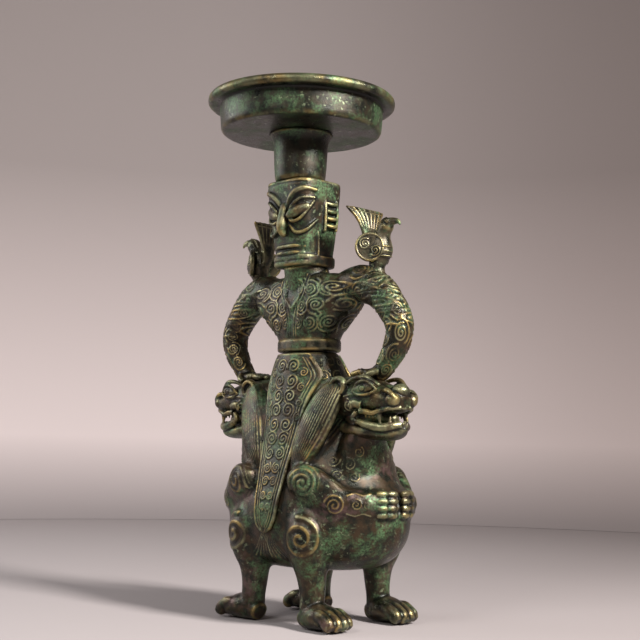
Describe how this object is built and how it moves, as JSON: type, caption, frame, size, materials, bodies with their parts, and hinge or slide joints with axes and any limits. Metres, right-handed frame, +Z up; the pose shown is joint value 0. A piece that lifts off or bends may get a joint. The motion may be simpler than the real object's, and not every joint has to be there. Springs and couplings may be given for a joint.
{
  "type": "bronze oil lamp",
  "caption": "Standing robed figure with hands on hips, carrying a lift-off oil dish on its head, on two crouching beasts set back to back.",
  "frame": {"origin": "centre of the lamp's bounding box, on the ground under the feet", "axes": "+Z up along the figure, +X to the figure's left, so the beasts face +X and -X, and -Y to the figure's front"},
  "size_m": [0.2824, 0.2186, 0.56],
  "materials": {
    "patinated_bronze": "green-black patina with worn ridges",
    "dark_bronze": "dark brown-green patina",
    "worn_bronze": "patina worn through to ochre on the ridges"
  },
  "bodies": {
    "lamp_base": {"figure_head": "patinated_bronze", "figure_torso": "patinated_bronze", "waist_belt": "worn_bronze", "robe_skirt": "patinated_bronze", "robe_front_panel": "worn_bronze", "robe_back_panel": "worn_bronze", "left_arm": "patinated_bronze", "right_arm": "patinated_bronze", "left_bird": "worn_bronze", "right_bird": "worn_bronze", "left_beast_body": "patinated_bronze", "left_beast_head": "dark_bronze", "left_beast_jaw": "worn_bronze", "left_front_foreleg": "dark_bronze", "left_back_foreleg": "dark_bronze", "left_front_leg": "patinated_bronze", "left_back_leg": "patinated_bronze", "right_beast_body": "patinated_bronze", "right_beast_head": "dark_bronze", "right_beast_jaw": "worn_bronze", "right_front_foreleg": "dark_bronze", "right_back_foreleg": "dark_bronze", "right_front_leg": "patinated_bronze", "right_back_leg": "patinated_bronze"},
    "lamp_dish": {"oil_dish": "patinated_bronze", "dish_stem": "dark_bronze", "wick_pricket": "dark_bronze"}
  },
  "joints": [
    {"name": "dish_lift", "type": "slide", "parent": "lamp_base", "child": "lamp_dish", "axis": [0, 0, 1], "range_m": [0, 0.03]}
  ]
}
